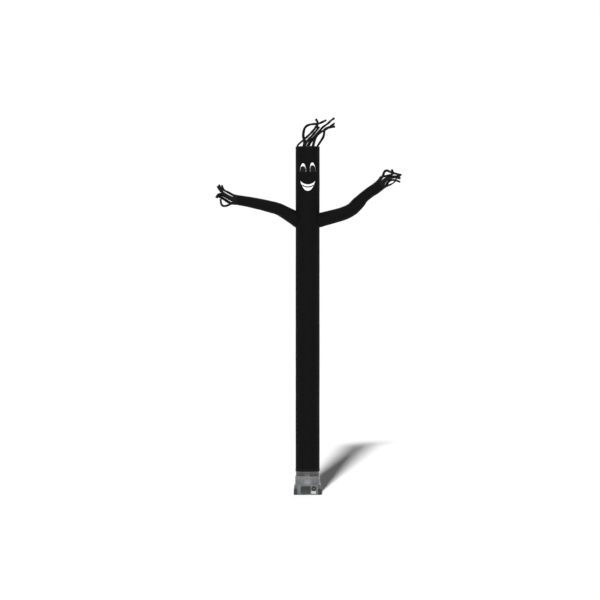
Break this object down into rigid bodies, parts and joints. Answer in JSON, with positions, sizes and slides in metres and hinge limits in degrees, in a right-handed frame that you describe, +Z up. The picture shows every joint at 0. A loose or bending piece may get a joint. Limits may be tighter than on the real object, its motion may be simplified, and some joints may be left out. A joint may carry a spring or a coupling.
{
  "type": "inflatable air dancer on its floor blower",
  "caption": "Tall inflatable cloth tube figure with two waving sleeves, loose strip hair and fingers and a smiling face, strapped to a moulded floor blower.",
  "frame": {"origin": "on the tube's axis, on the surface that the blower's feet stand on", "axes": "+Z up the tube, -Y towards the face, +X towards the higher, bent sleeve"},
  "size_m": [3.5266, 0.5318, 7.1305],
  "materials": {
    "ripstop": "matte coated woven cloth",
    "strip_cloth": "matte coated woven cloth",
    "webbing": "ribbed webbing",
    "white_applique": "matte woven cloth",
    "black_applique": "matte woven cloth",
    "grey_shell": "fine moulded texture",
    "dark_plastic": "satin",
    "pale_bar": "satin",
    "white_plate": "satin",
    "black_rubber": "matte"
  },
  "bodies": {
    "root": {"body_tube": "ripstop", "head_cap": "ripstop", "arm_left": "ripstop", "arm_right": "ripstop", "base_strap": "webbing", "hair_1": "strip_cloth", "hair_2": "strip_cloth", "hair_3": "strip_cloth", "hair_4": "strip_cloth", "hair_5": "strip_cloth", "hair_6": "strip_cloth", "finger_left_1": "strip_cloth", "finger_left_2": "strip_cloth", "finger_left_3": "strip_cloth", "finger_left_4": "strip_cloth", "finger_left_5": "strip_cloth", "finger_left_6": "strip_cloth", "finger_right_1": "strip_cloth", "finger_right_2": "strip_cloth", "finger_right_3": "strip_cloth", "finger_right_4": "strip_cloth", "finger_right_5": "strip_cloth", "finger_right_6": "strip_cloth", "eye_left": "white_applique", "eye_right": "white_applique", "pupil_left": "black_applique", "pupil_right": "black_applique", "mouth": "white_applique", "tooth_line": "black_applique", "blower_housing": "grey_shell", "intake_grille": "dark_plastic", "power_inlet": "dark_plastic", "inlet_bar": "pale_bar", "blank_plate": "white_plate", "foot_front_left": "black_rubber", "foot_front_right": "black_rubber", "foot_back_left": "black_rubber", "foot_back_right": "black_rubber"}
  },
  "joints": []
}
